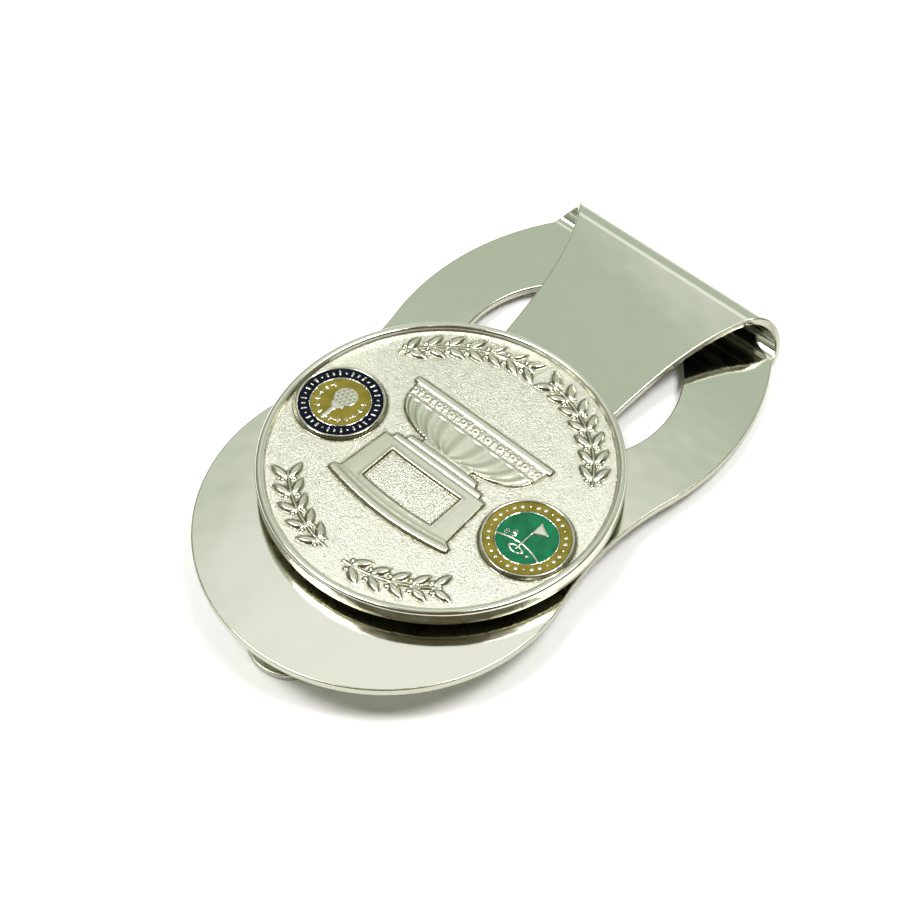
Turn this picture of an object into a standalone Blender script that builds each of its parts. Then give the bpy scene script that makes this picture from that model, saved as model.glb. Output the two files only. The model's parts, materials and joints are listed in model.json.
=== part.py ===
"""Golf money clip that carries a removable coin ball marker.

One folded spring-steel sheet makes a figure-eight plate and a tongue. The tongue turns back over the
fold, passes down through the plate's round window and ends below the disc lobe. A magnet on the disc
lobe holds a struck coin, the ball marker, whose two badges are filled with coloured enamel.

Units are metres. All pieces are first drawn in the plate's own frame: x along the clip towards the
fold, y across it, z = 0 on the plate's upper face, origin at the disc lobe's centre. The empty
"clip_rest" then lays the clip on the ground plane z = 0, on its tongue tip and its fold.
"""
from math import asin, atan2, cos, hypot, pi, radians, sin, sqrt

import bmesh
import bpy
from mathutils import Vector
from mathutils.geometry import interpolate_bezier

MM = 0.001

# Sheet
SHEET = 1.0 * MM
SHEET_EDGE = 0.12 * MM
DISC_RADIUS = 20.0 * MM
RING_ARC_RADIUS = 28.4 * MM
RING_ARC_X = 28.1 * MM
RING_ARC_DROP = 8.3 * MM
WAIST_RADIUS = 34.0 * MM
WINDOW_RADIUS = 12.3 * MM
WINDOW_X = 27.8 * MM
SMALLEST_HALF_WIDTH = 1.2 * MM

# Fold
FOLD_INNER = 1.6 * MM
FOLD_OUTER = FOLD_INNER + SHEET
FOLD_MIDDLE = FOLD_INNER + SHEET / 2
FOLD_X = 43.5 * MM
FOLD_Z = FOLD_INNER
FOLD_LOW_HALF_WIDTH = 15.2 * MM
FOLD_HIGH_HALF_WIDTH = 13.6 * MM
TONGUE_ROOT_HALF_WIDTH = 11.85 * MM
FOLD_GAP_ANGLE = radians(0.9)

# Tongue
TONGUE_SLOPE = radians(12)
TONGUE_TAIL_SLOPE = radians(6.3)
TONGUE_KNEE_START_X = 21.0 * MM
TONGUE_KNEE_END_X = 15.0 * MM
TONGUE_KNEE_END_Z = -2.0 * MM
TONGUE_KNEE_SOFTNESS = 0.4
TONGUE_WAIST_X = 25.0 * MM
TONGUE_WAIST_HALF_WIDTH = 8.0 * MM
TONGUE_FLARE_POWER = 3.3
TONGUE_TIP_RADIUS = 4.9 * MM
TONGUE_TIP_X = -13.9 * MM

# Magnet and its adhesive
MARKER_X = 7.85 * MM
FILM_RADIUS = 6.3 * MM
FILM_THICKNESS = 0.1 * MM
MAGNET_RADIUS = 6.5 * MM
MAGNET_THICKNESS = 0.97 * MM
MAGNET_CHAMFER = 0.15 * MM
TOUCH_GAP = 0.02 * MM

# Marker coin
COIN_RADIUS = 19.0 * MM
COIN_THICKNESS = 1.8 * MM
COIN_BASE_CHAMFER = 0.25 * MM
RIM_SHOULDER = 0.25 * MM
RIM_INNER_RADIUS = 18.3 * MM
RIM_WALL_SLOPE = 0.15 * MM
FIELD_LEVEL = 1.25 * MM
RELIEF_LEVEL = FIELD_LEVEL + 0.4 * MM
LEAF_LEVEL = FIELD_LEVEL + 0.3 * MM
RELIEF_ROOT = 0.2 * MM

# Badges
BADGE_X = -1.4 * MM
BADGE_Y = 12.95 * MM
BADGE_RADIUS = 4.85 * MM
BADGE_LEVEL = 1.77 * MM
BADGE_DRAFT = 0.15 * MM
RING_CELL_OUTER = 4.4 * MM
RING_CELL_INNER = 3.35 * MM
FIELD_CELL_RADIUS = 3.1 * MM
CELL_FLOOR = 1.35 * MM
ENAMEL_LEVEL = 1.7 * MM
ENAMEL_GAP = 0.02 * MM

# Coin relief: laurel sprays and a wide cup on a drum-shaped plinth
LAUREL_RADIUS = 15.6 * MM
LEAF_LENGTH = 2.3 * MM
LEAF_WIDTH = 0.95 * MM
LEAF_SPLAY = radians(38)
LEAF_OFFSET = 0.15 * MM
LEAF_STEP = radians(8)
LEAF_SHAPE = ((0.0, 0.0), (0.25, 0.75), (0.5, 1.0), (0.75, 0.7), (1.0, 0.0))
UPPER_SPRAY_SPAN = radians(60)
LOWER_SPRAY_SPAN = radians(44)
CUP_PLINTH = ((-8.2, 8.1), (-7.5, 8.1), (-7.1, 7.3), (-0.9, 6.9), (-0.9, 6.0), (-0.2, 5.9), (-0.2, 4.8),
              (0.6, 4.6), (0.6, 3.3))
CUP_BASE_SAG = 0.9
CUP_BOWL_CURVE = ((1.1, 3.2), (1.5, 6.4), (2.6, 8.2), (4.4, 8.7))
CUP_LIP = ((6.1, 9.0), (6.1, 9.4), (6.9, 9.4))

# Badge pictures: a ball on a tee, and a flag on a green
BALL_RADIUS = 1.35 * MM
BALL_X = 0.8 * MM
TEE_STEM = 0.3 * MM
TEE_HEAD = 0.75 * MM
TEE_HEAD_FOOT_X = -0.75 * MM
TEE_HEAD_X = -0.45 * MM
BAR_HALF_WIDTH = 0.14 * MM
HORIZON_RADIUS = 6.0 * MM
HORIZON_X = -0.9 * MM
FLAG_TOP_X = 2.3 * MM
FLAG_POINT = (1.5 * MM, -1.65 * MM)
FLAG_LOW_X = 0.7 * MM

# Facets
ROUND_STEPS = 96
BADGE_STEPS = 48
ARC_STEPS = 12
DISC_END_STEPS = 24
PLATE_STEPS = 40
FOLD_STEPS = 9
STRAIGHT_STEPS = 14
KNEE_STEPS = 12
TAIL_STEPS = 10
TIP_STEPS = 8
BOWL_STEPS = 10
BASE_STEPS = 12


# ---------------------------------------------------------------- scene and materials

def clear_scene():
    for item in list(bpy.data.objects):
        bpy.data.objects.remove(item, do_unlink=True)


def surface(name, colour, roughness, metallic):
    material = bpy.data.materials.new(name)
    material.use_nodes = True
    shader = material.node_tree.nodes["Principled BSDF"]
    shader.inputs["Base Color"].default_value = (*colour, 1.0)
    shader.inputs["Roughness"].default_value = roughness
    shader.inputs["Metallic"].default_value = metallic
    return material


def metal(name, colour, roughness):
    return surface(name, colour, roughness, 1.0)


def add_object(name, mesh_data, material, parent):
    mesh = bpy.data.meshes.new(name)
    mesh_data.to_mesh(mesh)
    mesh_data.free()
    item = bpy.data.objects.new(name, mesh)
    bpy.context.scene.collection.objects.link(item)
    if material:
        mesh.materials.append(material)
    item.parent = parent
    return item


def add_empty(name, location, parent=None):
    empty = bpy.data.objects.new(name, None)
    bpy.context.scene.collection.objects.link(empty)
    empty.location = location
    empty.parent = parent
    return empty


def shade_round(item, sharp_angle=radians(35)):
    item.data.shade_smooth()
    item.data.set_sharp_from_angle(angle=sharp_angle)


# ---------------------------------------------------------------- general mesh tools

def loft(rings):
    """A solid skinned over equal-sized loops of points, the first and the last of them capped."""
    body = bmesh.new()
    loops = [[body.verts.new(point) for point in ring] for ring in rings]
    size = len(loops[0])
    for low, high in zip(loops, loops[1:]):
        for i in range(size):
            j = (i + 1) % size
            body.faces.new((low[i], low[j], high[j], high[i]))
    body.faces.new(list(reversed(loops[0])))
    body.faces.new(loops[-1])
    bmesh.ops.recalc_face_normals(body, faces=body.faces)
    return body


def circle(radius, z, steps, centre=(0.0, 0.0)):
    """A loop of points on a level circle."""
    turns = [2 * pi * i / steps for i in range(steps)]
    return [(centre[0] + radius * cos(a), centre[1] + radius * sin(a), z) for a in turns]


def turned(profile, steps, centre=(0.0, 0.0)):
    """A solid of revolution: profile is (radius, height) from the bottom's edge to the top's."""
    return loft([circle(radius, z, steps, centre) for radius, z in profile])


def tube_ring(inner, outer, low, high, steps, centre):
    """A flat annulus with a square section."""
    corners = ((inner, low), (outer, low), (outer, high), (inner, high))
    body = bmesh.new()
    loops = [[body.verts.new(p) for p in circle(r, z, steps, centre)] for r, z in corners]
    for near, far in zip(loops, loops[1:] + loops[:1]):
        for i in range(steps):
            j = (i + 1) % steps
            body.faces.new((near[i], near[j], far[j], far[i]))
    bmesh.ops.recalc_face_normals(body, faces=body.faces)
    return body


def prism(outline, low, high):
    """An upright prism on a flat outline of (x, y) points."""
    rings = [[(x, y, z) for x, y in outline] for z in (low, high)]
    return loft(rings)


def join_bodies(bodies):
    """One mesh holding several solids that stay clear of each other."""
    whole = bmesh.new()
    for body in bodies:
        part = bpy.data.meshes.new("part")
        body.to_mesh(part)
        body.free()
        whole.from_mesh(part)
        bpy.data.meshes.remove(part)
    return whole


def arc(centre, radius, start, stop, steps=ARC_STEPS):
    """Points (x, y) along an arc, both ends included."""
    angles = [start + (stop - start) * i / steps for i in range(steps + 1)]
    return [(centre[0] + radius * cos(a), centre[1] + radius * sin(a)) for a in angles]


def cut_or_join(item, tool, operation):
    """Boolean of an item with a hidden tool body."""
    tool.hide_render = True
    tool.display_type = "WIRE"
    modifier = item.modifiers.new(tool.name, "BOOLEAN")
    modifier.operation = operation
    modifier.object = tool


def round_edges(item, width, angle=radians(50), segments=2):
    modifier = item.modifiers.new("edges", "BEVEL")
    modifier.width = width
    modifier.segments = segments
    modifier.limit_method = "ANGLE"
    modifier.angle_limit = angle


# ---------------------------------------------------------------- folded sheet

def waist_centre():
    """Centre of the concave waist arc that touches the disc and the ring's side arc."""
    to_disc = DISC_RADIUS + WAIST_RADIUS
    to_ring = RING_ARC_RADIUS + WAIST_RADIUS
    ring = Vector((RING_ARC_X, -RING_ARC_DROP))
    along = (to_disc ** 2 - to_ring ** 2 + ring.length ** 2) / (2 * ring.length)
    across = sqrt(to_disc ** 2 - along ** 2)
    line = ring.normalized()
    return along * line.x - across * line.y, along * line.y + across * line.x


def plate_half_width(x):
    """Half the figure-eight's width at x: disc lobe, concave waist, then the ring's side arc."""
    centre_x, centre_y = waist_centre()
    disc_end = centre_x * DISC_RADIUS / (DISC_RADIUS + WAIST_RADIUS)
    ring_share = RING_ARC_RADIUS / (RING_ARC_RADIUS + WAIST_RADIUS)
    ring_start = RING_ARC_X + (centre_x - RING_ARC_X) * ring_share
    if x < disc_end:
        return sqrt(DISC_RADIUS ** 2 - x ** 2)
    if x < ring_start:
        return centre_y - sqrt(WAIST_RADIUS ** 2 - (x - centre_x) ** 2)
    return sqrt(RING_ARC_RADIUS ** 2 - (x - RING_ARC_X) ** 2) - RING_ARC_DROP


def round_end(centre_x, radius, half_turn_steps):
    """(x, half width) along a round end, from its far point to its widest point."""
    first = asin(SMALLEST_HALF_WIDTH / radius)
    angles = [first + (pi / 2 - first) * i / half_turn_steps for i in range(half_turn_steps + 1)]
    return [(centre_x - radius * cos(a), radius * sin(a)) for a in angles]


def fold_half_width(angle):
    """Half width at an angle around the fold, on a Bezier curve from the plate to the tongue's root."""
    start, stop = -pi / 2, pi / 2 + TONGUE_SLOPE
    t = (angle - start) / (stop - start)
    widths = (plate_half_width(FOLD_X), FOLD_LOW_HALF_WIDTH, FOLD_HIGH_HALF_WIDTH, TONGUE_ROOT_HALF_WIDTH)
    shares = ((1 - t) ** 3, 3 * t * (1 - t) ** 2, 3 * t ** 2 * (1 - t), t ** 3)
    return sum(share * width for share, width in zip(shares, widths))


def fold_station(angle):
    """Middle point, outward normal and half width of the sheet at an angle around the fold."""
    x = FOLD_X + FOLD_MIDDLE * cos(angle)
    z = FOLD_Z + FOLD_MIDDLE * sin(angle)
    return x, z, cos(angle), sin(angle), fold_half_width(angle)


def plate_stations():
    """Stations of the plate: disc end, flat figure eight, then the fold's lower quarter turn."""
    flat = round_end(0.0, DISC_RADIUS, DISC_END_STEPS)
    run = FOLD_X / PLATE_STEPS
    flat += [(run * i, plate_half_width(run * i)) for i in range(1, PLATE_STEPS + 1)]
    stations = [(x, -SHEET / 2, 0.0, -1.0, width) for x, width in flat]
    turn = (pi / 2 - FOLD_GAP_ANGLE) / FOLD_STEPS
    return stations + [fold_station(-pi / 2 + turn * i) for i in range(1, FOLD_STEPS + 1)]


def straight_run(start, stop, steps):
    """Points that divide a straight run evenly, without its first point."""
    return [tuple(start.lerp(stop, i / steps)) for i in range(1, steps + 1)]


def tongue_middle_line():
    """(x, z) points along the tongue's middle from the fold to the tip's end."""
    slope = Vector((cos(TONGUE_SLOPE), sin(TONGUE_SLOPE)))
    tail_slope = Vector((cos(TONGUE_TAIL_SLOPE), sin(TONGUE_TAIL_SLOPE)))
    root = Vector((FOLD_X - FOLD_MIDDLE * slope.y, FOLD_Z + FOLD_MIDDLE * slope.x))
    knee_start = root - slope * (root.x - TONGUE_KNEE_START_X) / slope.x
    knee_end = Vector((TONGUE_KNEE_END_X, TONGUE_KNEE_END_Z))
    reach = (TONGUE_KNEE_START_X - TONGUE_KNEE_END_X) * TONGUE_KNEE_SOFTNESS
    handles = (knee_start - slope * reach, knee_end + tail_slope * reach)
    knee = interpolate_bezier(knee_start, *handles, knee_end, KNEE_STEPS)
    tip = knee_end - tail_slope * (TONGUE_KNEE_END_X - TONGUE_TIP_X) / tail_slope.x
    rounding = round_end(TONGUE_TIP_X, TONGUE_TIP_RADIUS, TIP_STEPS)[-2::-1]
    end = [tuple(tip - tail_slope * (TONGUE_TIP_X - x) / tail_slope.x) for x, _ in rounding]
    run = straight_run(root, knee_start, STRAIGHT_STEPS)
    tail = straight_run(knee_end, tip, TAIL_STEPS)
    return run + [(point.x, point.y) for point in knee[1:]] + tail + end


def tongue_half_width(x):
    """Half the tongue's width at x: concave sides near the fold, then a straight taper, round tip."""
    if x < TONGUE_TIP_X:
        return sqrt(TONGUE_TIP_RADIUS ** 2 - (x - TONGUE_TIP_X) ** 2)
    root_x = FOLD_X - FOLD_MIDDLE * sin(TONGUE_SLOPE)
    taper = (TONGUE_WAIST_HALF_WIDTH - TONGUE_TIP_RADIUS) / (TONGUE_WAIST_X - TONGUE_TIP_X)
    if x < TONGUE_WAIST_X:
        return TONGUE_TIP_RADIUS + taper * (x - TONGUE_TIP_X)
    share = (x - TONGUE_WAIST_X) / (root_x - TONGUE_WAIST_X)
    run = taper * (root_x - TONGUE_WAIST_X)
    flare = TONGUE_ROOT_HALF_WIDTH - TONGUE_WAIST_HALF_WIDTH - run
    return TONGUE_WAIST_HALF_WIDTH + run * share + flare * share ** TONGUE_FLARE_POWER


def path_normals(points):
    """Unit normals on the upper side of a path that runs towards -x."""
    normals = []
    for i, _ in enumerate(points):
        before = points[max(i - 1, 0)]
        after = points[min(i + 1, len(points) - 1)]
        dx, dz = after[0] - before[0], after[1] - before[1]
        size = hypot(dx, dz)
        normals.append((dz / size, -dx / size))
    return normals


def tongue_stations():
    """Stations of the tongue: the fold's upper part, then along the middle line to the tip."""
    turn = (pi / 2 + TONGUE_SLOPE - FOLD_GAP_ANGLE) / FOLD_STEPS
    stations = [fold_station(FOLD_GAP_ANGLE + turn * i) for i in range(FOLD_STEPS + 1)]
    middle = tongue_middle_line()
    for (x, z), (nx, nz) in zip(middle, path_normals(middle)):
        stations.append((x, z, nx, nz, tongue_half_width(x)))
    return stations


def sheet_body(stations):
    """The sheet's solid: at each station a flat strip, SHEET thick, across the half width."""
    half = SHEET / 2
    rings = []
    for x, z, nx, nz, width in stations:
        outer = (x + nx * half, z + nz * half)
        inner = (x - nx * half, z - nz * half)
        rings.append([(outer[0], -width, outer[1]), (outer[0], width, outer[1]),
                      (inner[0], width, inner[1]), (inner[0], -width, inner[1])])
    return loft(rings)


def make_clip_plate(parent, material):
    plate = add_object("clip_plate", sheet_body(plate_stations()), material, parent)
    window = turned([(WINDOW_RADIUS, -2 * SHEET), (WINDOW_RADIUS, SHEET / 2)], ROUND_STEPS)
    cutter = add_object("window_cutter", window, None, parent)
    cutter.location = (WINDOW_X, 0.0, 0.0)
    cut_or_join(plate, cutter, "DIFFERENCE")
    round_edges(plate, SHEET_EDGE)
    shade_round(plate)


def make_spring_tongue(parent, material):
    body = sheet_body(tongue_stations())
    bmesh.ops.translate(body, verts=body.verts, vec=(-FOLD_X, 0.0, -FOLD_Z))
    tongue = add_object("spring_tongue", body, material, parent)
    round_edges(tongue, SHEET_EDGE)
    shade_round(tongue)


# ---------------------------------------------------------------- magnet

def make_magnet(parent, film_material, magnet_material):
    """Adhesive film and magnet on the plate; returns the height of the coin's seat."""
    film_low = TOUCH_GAP
    film_high = film_low + FILM_THICKNESS
    film = turned([(FILM_RADIUS, film_low), (FILM_RADIUS, film_high)], BADGE_STEPS)
    film_item = add_object("magnet_adhesive", film, film_material, parent)
    film_item.location = (MARKER_X, 0.0, 0.0)
    low = film_high + TOUCH_GAP
    high = low + MAGNET_THICKNESS
    inset = MAGNET_RADIUS - MAGNET_CHAMFER
    profile = [(inset, low), (MAGNET_RADIUS, low + MAGNET_CHAMFER)]
    profile += [(MAGNET_RADIUS, high - MAGNET_CHAMFER), (inset, high)]
    magnet = add_object("magnet", turned(profile, BADGE_STEPS), magnet_material, parent)
    magnet.location = (MARKER_X, 0.0, 0.0)
    shade_round(magnet)
    return high + TOUCH_GAP


# ---------------------------------------------------------------- coin relief outlines

def cup_outline():
    """Cup, stem and plinth, upright towards +x, symmetric about y = 0, with a base that bulges down."""
    side = [Vector(point) for point in CUP_PLINTH]
    side += interpolate_bezier(*[Vector(point) for point in CUP_BOWL_CURVE], BOWL_STEPS)
    side += [Vector(point) for point in CUP_LIP]
    low_x, half_width = CUP_PLINTH[0]
    base = []
    for i in range(1, BASE_STEPS):
        share = 2 * i / BASE_STEPS - 1
        base.append(Vector((low_x - CUP_BASE_SAG * (1 - share ** 2), half_width * share)))
    mirrored = [Vector((point.x, -point.y)) for point in reversed(side)]
    return [tuple(point * MM) for point in side + mirrored + base]


def leaf_outline(lean):
    """A pointed leaf rooted beside a stem that runs along +x; lean is 1 or -1, the side it is on."""
    along = Vector((cos(LEAF_SPLAY), lean * sin(LEAF_SPLAY)))
    across = Vector((-along.y, along.x)) * LEAF_WIDTH / 2
    root = Vector((0.0, lean * LEAF_OFFSET))
    one_edge = [root + along * LEAF_LENGTH * t + across * w for t, w in LEAF_SHAPE]
    other_edge = [root + along * LEAF_LENGTH * t - across * w for t, w in LEAF_SHAPE[-2:0:-1]]
    return one_edge + other_edge


def spray_leaves(middle, span, inward):
    """Two mirrored sprays about the angle `middle`; inward ones point at it, the others away."""
    outlines = []
    for i in range(int(span / LEAF_STEP)):
        offset = LEAF_STEP * (i + 1)
        for side in (1, -1):
            angle = middle + side * offset
            stem = Vector((cos(angle), sin(angle)))
            forward = Vector((-stem.y, stem.x)) * side * (-1 if inward else 1)
            for lean in (1, -1):
                points = [stem * (LAUREL_RADIUS + p.y) + forward * p.x for p in leaf_outline(lean)]
                outlines.append([(p.x, p.y) for p in points])
    return outlines


# ---------------------------------------------------------------- badge cells

def tee_and_ball_cell(gap):
    """Round cell with a ball on a tee standing in from its lower side, as one outline."""
    radius = FIELD_CELL_RADIUS - gap
    stem, head, ball = TEE_STEM + gap, TEE_HEAD + gap, BALL_RADIUS + gap
    foot_angle = asin(stem / radius)
    shell = arc((0.0, 0.0), radius, -pi + foot_angle, pi - foot_angle, BADGE_STEPS)
    tee = [(TEE_HEAD_FOOT_X - gap, stem), (TEE_HEAD_X, head)]
    start = pi - asin(head / ball)
    crown = arc((BALL_X, 0.0), ball, start, -start, BADGE_STEPS // 2)
    return shell + tee + crown + [(x, -y) for x, y in reversed(tee)]


def horizon_ends(radius, arc_radius, centre_x):
    """Where the horizon's arc meets the round cell: its angle seen from the cell and from the arc."""
    meet_x = (radius ** 2 - arc_radius ** 2 + centre_x ** 2) / (2 * centre_x)
    meet_y = sqrt(radius ** 2 - meet_x ** 2)
    return atan2(meet_y, meet_x), atan2(meet_y, meet_x - centre_x)


def green_cells(gap):
    """Two round-sided cells: sky with a flagstick standing in it, and turf below a curved horizon."""
    radius = FIELD_CELL_RADIUS - gap
    bar = BAR_HALF_WIDTH + gap
    centre = (HORIZON_X - HORIZON_RADIUS, 0.0)
    above, below = HORIZON_RADIUS + bar, HORIZON_RADIUS - bar
    edge, bend = horizon_ends(radius, above, centre[0])
    stick = asin(bar / above)
    sky = arc((0.0, 0.0), radius, -edge, edge, BADGE_STEPS // 2)
    sky += arc(centre, above, bend, stick)[1:]
    sky += [(FLAG_TOP_X + gap, bar), (FLAG_TOP_X + gap, -bar)]
    sky += [(FLAG_POINT[0], FLAG_POINT[1] - gap), (FLAG_LOW_X - gap, -bar)]
    sky += arc(centre, above, -stick, -bend)[:-1]
    edge, bend = horizon_ends(radius, below, centre[0])
    turf = arc((0.0, 0.0), radius, edge, 2 * pi - edge, BADGE_STEPS // 2)
    turf += arc(centre, below, -bend, bend)[1:-1]
    return [sky, turf]


def placed(outline, side):
    """A badge outline moved to the badge on the +y (1) or -y (-1) side of the coin."""
    return [(BADGE_X + x, side * BADGE_Y + y) for x, y in outline]


def make_enamel(name, body, material, parent):
    item = add_object(name, body, material, parent)
    shade_round(item)


# ---------------------------------------------------------------- marker coin

def coin_blank():
    """The coin's turned body with its raised rim."""
    rim_top = COIN_RADIUS - RIM_SHOULDER
    wall_foot = RIM_INNER_RADIUS - RIM_WALL_SLOPE
    profile = [(COIN_RADIUS - COIN_BASE_CHAMFER, 0.0), (COIN_RADIUS, COIN_BASE_CHAMFER)]
    profile += [(COIN_RADIUS, COIN_THICKNESS - RIM_SHOULDER), (rim_top, COIN_THICKNESS)]
    profile += [(RIM_INNER_RADIUS, COIN_THICKNESS), (wall_foot, FIELD_LEVEL)]
    return turned(profile, ROUND_STEPS)


def badge_blanks():
    """The two round bosses that carry the badges."""
    root = FIELD_LEVEL - RELIEF_ROOT
    profile = [(BADGE_RADIUS, root), (BADGE_RADIUS, BADGE_LEVEL - BADGE_DRAFT)]
    profile += [(BADGE_RADIUS - BADGE_DRAFT, BADGE_LEVEL)]
    centres = [(BADGE_X, side * BADGE_Y) for side in (1, -1)]
    return join_bodies([turned(profile, BADGE_STEPS, centre) for centre in centres])


def cell_cutters():
    """Everything that the enamel's cells take out of the badges."""
    top = COIN_THICKNESS + RELIEF_ROOT
    bodies = []
    for side in (1, -1):
        centre = (BADGE_X, side * BADGE_Y)
        bodies.append(tube_ring(RING_CELL_INNER, RING_CELL_OUTER, CELL_FLOOR, top, BADGE_STEPS, centre))
    bodies.append(prism(placed(tee_and_ball_cell(0.0), 1), CELL_FLOOR, top))
    bodies += [prism(placed(cell, -1), CELL_FLOOR, top) for cell in green_cells(0.0)]
    return join_bodies(bodies)


def make_coin(parent, material):
    """Struck coin: blank, badges, cup and laurel in one body, with the cells cut out."""
    coin = add_object("marker_coin", coin_blank(), material, parent)
    root = FIELD_LEVEL - RELIEF_ROOT
    cup = prism(cup_outline(), root, RELIEF_LEVEL)
    sprays = spray_leaves(0.0, UPPER_SPRAY_SPAN, True) + spray_leaves(pi, LOWER_SPRAY_SPAN, False)
    leaves = [prism(outline, root, LEAF_LEVEL) for outline in sprays]
    tools = (("badge_blanks", badge_blanks(), "UNION"),
             ("cup_relief", cup, "UNION"),
             ("laurel_sprays", join_bodies(leaves), "UNION"),
             ("cell_cutters", cell_cutters(), "DIFFERENCE"))
    for name, body, operation in tools:
        cut_or_join(coin, add_object(name, body, None, parent), operation)
    shade_round(coin)


def make_enamels(parent, navy, gold, green):
    """Enamel pools, each a hair clear of its cell's walls and floor."""
    low, high = CELL_FLOOR + ENAMEL_GAP, ENAMEL_LEVEL
    inner, outer = RING_CELL_INNER + ENAMEL_GAP, RING_CELL_OUTER - ENAMEL_GAP
    names = ((1, "left_badge_ring_enamel", navy), (-1, "right_badge_ring_enamel", gold))
    for side, name, material in names:
        ring = tube_ring(inner, outer, low, high, BADGE_STEPS, (BADGE_X, side * BADGE_Y))
        make_enamel(name, ring, material, parent)
    field = prism(placed(tee_and_ball_cell(ENAMEL_GAP), 1), low, high)
    make_enamel("left_badge_field_enamel", field, gold, parent)
    names = ("right_badge_sky_enamel", "right_badge_turf_enamel")
    for name, cell in zip(names, green_cells(ENAMEL_GAP)):
        make_enamel(name, prism(placed(cell, -1), low, high), green, parent)


# ---------------------------------------------------------------- rest pose and assembly

def rest_tilt():
    """Angle that lays both the tongue tip's end and the fold on the ground."""
    end_x, end_z = tongue_middle_line()[-1]
    low_x = end_x + SHEET / 2 * sin(TONGUE_TAIL_SLOPE)
    low_z = end_z - SHEET / 2 * cos(TONGUE_TAIL_SLOPE)
    run, rise = FOLD_X - low_x, FOLD_Z - low_z
    return atan2(rise, run) - asin(FOLD_OUTER / hypot(run, rise))


def add_rest_frame():
    """Empty that turns the plate's frame onto the ground, centred over the origin."""
    tilt = rest_tilt()
    lowest = -FOLD_X * sin(tilt) + FOLD_Z * cos(tilt) - FOLD_OUTER
    far_x = FOLD_X * cos(tilt) + FOLD_Z * sin(tilt) + FOLD_OUTER
    disc_end = round_end(0.0, DISC_RADIUS, 1)[0][0]
    near_x = disc_end * cos(tilt) - (SHEET - SHEET_EDGE) * sin(tilt)
    frame = add_empty("clip_rest", (-(far_x + near_x) / 2, 0.0, -lowest))
    frame.rotation_euler = (0.0, tilt, 0.0)
    return frame


def build():
    clear_scene()
    nickel = metal("polished_nickel", (0.78, 0.80, 0.73), 0.12)
    struck = metal("struck_nickel", (0.82, 0.83, 0.77), 0.32)
    magnet_plate = metal("magnet_plating", (0.70, 0.71, 0.72), 0.2)
    adhesive = surface("adhesive", (0.65, 0.62, 0.5), 0.6, 0.0)
    navy = surface("navy_enamel", (0.012, 0.02, 0.06), 0.12, 0.0)
    gold = surface("gold_enamel", (0.45, 0.36, 0.06), 0.2, 0.0)
    green = surface("green_enamel", (0.005, 0.16, 0.07), 0.12, 0.0)
    frame = add_rest_frame()
    make_clip_plate(frame, nickel)
    fold_axis = add_empty("fold_axis", (FOLD_X, 0.0, FOLD_Z), frame)
    make_spring_tongue(fold_axis, nickel)
    seat = make_magnet(frame, adhesive, magnet_plate)
    marker_axis = add_empty("marker_axis", (MARKER_X, 0.0, seat), frame)
    make_coin(marker_axis, struck)
    make_enamels(marker_axis, navy, gold, green)


build()
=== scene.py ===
"""Looks of the golf money clip and its coin ball marker.

Lengths named here are in millimetres, in the plate's own frame: x along the clip towards the fold,
y across it, z = 0 on the plate's upper face, origin at the disc lobe's centre. rest_frame() gives the
matrix that carries this frame into the row frame, in metres.
"""

import json
from math import atan2, cos, hypot, pi, radians, sin, sqrt, tan

import bmesh
import bpy
import numpy as np
from mathutils import Matrix, Vector
from mathutils.geometry import interpolate_bezier


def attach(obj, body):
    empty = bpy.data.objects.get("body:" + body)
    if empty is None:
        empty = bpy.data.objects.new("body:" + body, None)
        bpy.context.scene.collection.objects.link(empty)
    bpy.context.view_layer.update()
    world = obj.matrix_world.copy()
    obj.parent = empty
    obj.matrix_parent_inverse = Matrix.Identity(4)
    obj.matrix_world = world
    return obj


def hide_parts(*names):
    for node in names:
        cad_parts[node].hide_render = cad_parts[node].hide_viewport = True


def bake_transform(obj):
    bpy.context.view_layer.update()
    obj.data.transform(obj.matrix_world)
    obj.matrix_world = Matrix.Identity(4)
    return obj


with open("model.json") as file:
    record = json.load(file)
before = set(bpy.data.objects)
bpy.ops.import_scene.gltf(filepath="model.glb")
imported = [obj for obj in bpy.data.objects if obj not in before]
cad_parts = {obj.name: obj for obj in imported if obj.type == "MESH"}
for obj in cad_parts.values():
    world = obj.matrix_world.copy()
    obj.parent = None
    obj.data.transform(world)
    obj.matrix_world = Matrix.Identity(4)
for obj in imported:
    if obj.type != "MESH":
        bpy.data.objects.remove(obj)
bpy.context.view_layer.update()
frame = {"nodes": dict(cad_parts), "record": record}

# Sheet, as in the CAD model
SHEET = 1.0
DISC_RADIUS = 20.0
RING_ARC_RADIUS = 28.4
RING_ARC_X = 28.1
RING_ARC_DROP = 8.3
WAIST_RADIUS = 34.0
WINDOW_RADIUS = 12.3
WINDOW_X = 27.8
FOLD_INNER = 1.6
FOLD_X = 43.5
FOLD_Z = FOLD_INNER
FOLD_MIDDLE = FOLD_INNER + SHEET / 2
FOLD_LOW_HALF_WIDTH = 15.2
FOLD_HIGH_HALF_WIDTH = 13.6
TONGUE_ROOT_HALF_WIDTH = 11.85
TONGUE_SLOPE = radians(12)
TONGUE_TAIL_SLOPE = radians(6.3)
TONGUE_KNEE_START_X = 21.0
TONGUE_KNEE_END_X = 15.0
TONGUE_KNEE_END_Z = -2.0
TONGUE_KNEE_SOFTNESS = 0.4
TONGUE_WAIST_X = 25.0
TONGUE_WAIST_HALF_WIDTH = 8.0
TONGUE_FLARE_POWER = 3.3
TONGUE_TIP_RADIUS = 4.9
TONGUE_TIP_X = -13.9

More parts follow.
